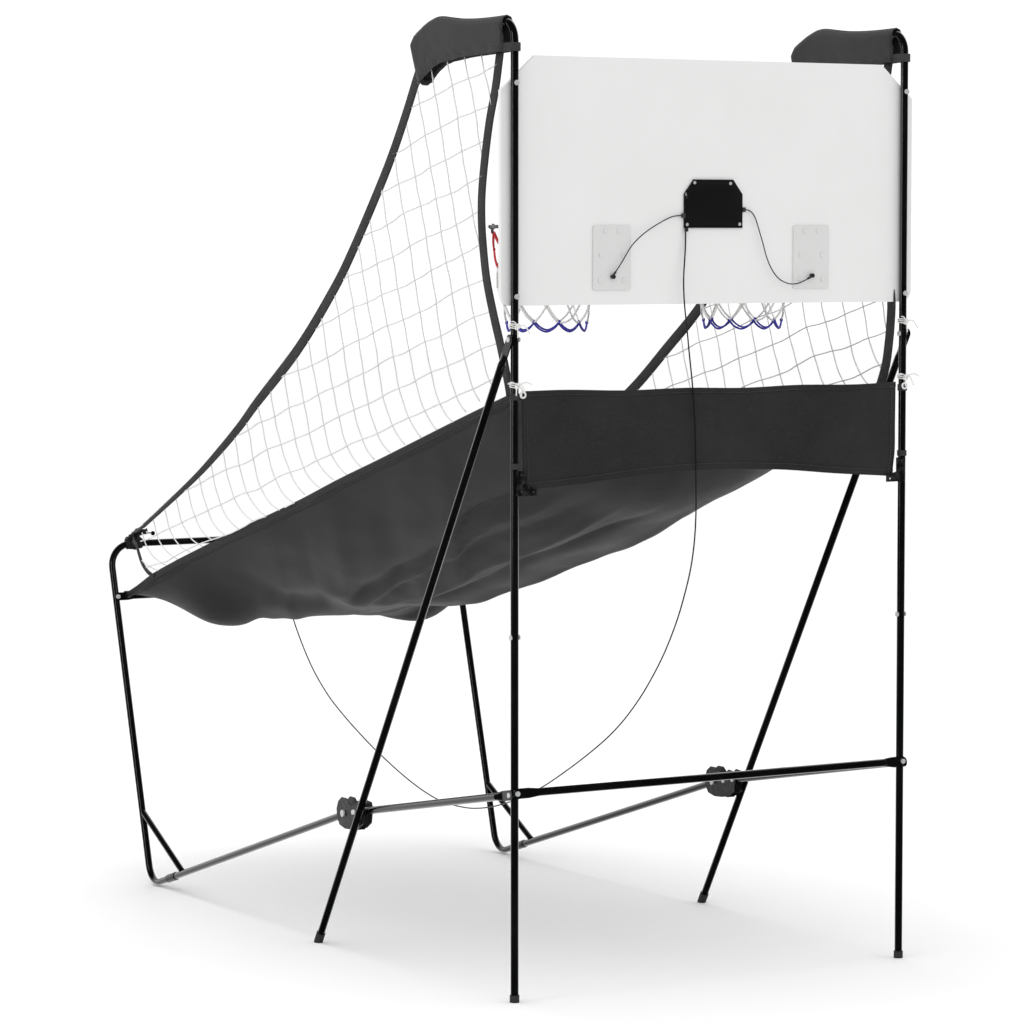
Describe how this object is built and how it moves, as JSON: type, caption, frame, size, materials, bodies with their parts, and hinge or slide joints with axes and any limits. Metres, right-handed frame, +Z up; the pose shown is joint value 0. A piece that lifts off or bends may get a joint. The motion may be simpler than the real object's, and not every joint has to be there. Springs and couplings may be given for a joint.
{
  "type": "basketball hoop machine",
  "caption": "Folding steel-tube hoop game with backboard, two netted hoops, electronic scorer, side nets and a fabric ball-return ramp.",
  "frame": {"origin": "middle of the footprint, on the floor", "axes": "+Z up, +Y towards the rear posts, -Y towards the players, +X along the rear crossbar"},
  "size_m": [1.0686, 2.0205, 2.073],
  "materials": {
    "black_tube": "gloss powder coat",
    "black_plate": "satin powder coat",
    "zinc_steel": "zinc plated",
    "rubber": "matt",
    "board_white": "smooth satin",
    "grey_plate": "satin",
    "rim_steel": "satin powder coat",
    "hoop_net_cord": "knitted nylon cord in three bands",
    "side_net_cord": "thin knotted nylon",
    "dark_fabric": "woven polyester",
    "webbing": "woven webbing",
    "white_cord": "braided cord",
    "black_pvc": "satin PVC",
    "smoked_lens": "tinted gloss",
    "green_board": "solder mask",
    "button_plastic": "satin",
    "black_plastic": "fine texture"
  },
  "bodies": {
    "stand": {"arm_hood_L": "dark_fabric", "arm_hood_R": "dark_fabric", "backboard": "board_white", "backing_plates": "grey_plate", "circuit_board": "green_board", "cord_fittings": "black_pvc", "cover_screws": "zinc_steel", "diagonal_leg_L": "black_tube", "diagonal_leg_R": "black_tube", "display_lens": "smoked_lens", "fold_pivot_bolts": "zinc_steel", "foot_caps": "rubber", "frame_bolts": "zinc_steel", "hinge_bracket_L": "black_plate", "hinge_bracket_R": "black_plate", "hoop_net_L": "hoop_net_cord", "hoop_net_R": "hoop_net_cord", "main_cord": "black_pvc", "net_ties": "white_cord", "panel_brackets": "black_plate", "post_lower_L": "black_tube", "post_lower_R": "black_tube", "post_middle_L": "black_tube", "post_middle_R": "black_tube", "post_straps": "webbing", "post_upper_L": "black_tube", "post_upper_R": "black_tube", "ramp_fabric": "dark_fabric", "rear_crossbar": "black_tube", "rear_link_L": "black_tube", "rear_link_R": "black_tube", "rear_panel": "dark_fabric", "rim_L": "rim_steel", "rim_R": "rim_steel", "rim_bolts": "zinc_steel", "scorer_cover": "black_plastic", "scorer_housing": "black_plastic", "sensor_housing_L": "black_plastic", "sensor_housing_R": "black_plastic", "sensor_pins": "zinc_steel", "sensor_wire_L": "black_pvc", "sensor_wire_R": "black_pvc", "side_net_L": "side_net_cord", "side_net_R": "side_net_cord"},
    "front_frame": {"bar_bolts": "zinc_steel", "control_box": "black_plastic", "control_box_lid": "black_plastic", "front_braces": "black_tube", "front_leg_L": "black_tube", "front_leg_R": "black_tube", "front_lower_bar": "black_tube", "front_side_tube_L": "black_tube", "front_side_tube_R": "black_tube", "tube_sleeves": "black_tube"},
    "sensor_arm_L": {"sensor_paddle_L": "rim_steel"},
    "sensor_arm_R": {"sensor_paddle_R": "rim_steel"},
    "button_1": {"scorer_button_1": "button_plastic"},
    "button_2": {"scorer_button_2": "button_plastic"},
    "button_3": {"scorer_button_3": "button_plastic"},
    "switch_slider": {"power_switch": "black_plastic"}
  },
  "joints": [
    {"name": "front_fold", "type": "hinge", "parent": "stand", "child": "front_frame", "pos_m": [0, 0.26075, 0.308], "axis": [-1, 0, 0], "range_deg": [0, 66]},
    {"name": "sensor_arm_hinge_L", "type": "hinge", "parent": "stand", "child": "sensor_arm_L", "pos_m": [0.256, 0.93375, 1.52], "axis": [1, 0, 0], "range_deg": [0, 20], "stiffness_Nm_per_rad": 0.25, "springref_deg": -20.05},
    {"name": "sensor_arm_hinge_R", "type": "hinge", "parent": "stand", "child": "sensor_arm_R", "pos_m": [-0.256, 0.93375, 1.52], "axis": [1, 0, 0], "range_deg": [0, 20], "stiffness_Nm_per_rad": 0.25, "springref_deg": -20.05},
    {"name": "button_press_1", "type": "slide", "parent": "stand", "child": "button_1", "axis": [0, 1, 0], "range_m": [0, 0.002], "stiffness_N_per_m": 400, "springref_m": -0.002},
    {"name": "button_press_2", "type": "slide", "parent": "stand", "child": "button_2", "axis": [0, 1, 0], "range_m": [0, 0.002], "stiffness_N_per_m": 400, "springref_m": -0.002},
    {"name": "button_press_3", "type": "slide", "parent": "stand", "child": "button_3", "axis": [0, 1, 0], "range_m": [0, 0.002], "stiffness_N_per_m": 400, "springref_m": -0.002},
    {"name": "power_slide", "type": "slide", "parent": "stand", "child": "switch_slider", "axis": [0, 0, 1], "range_m": [0, 0.006]}
  ]
}
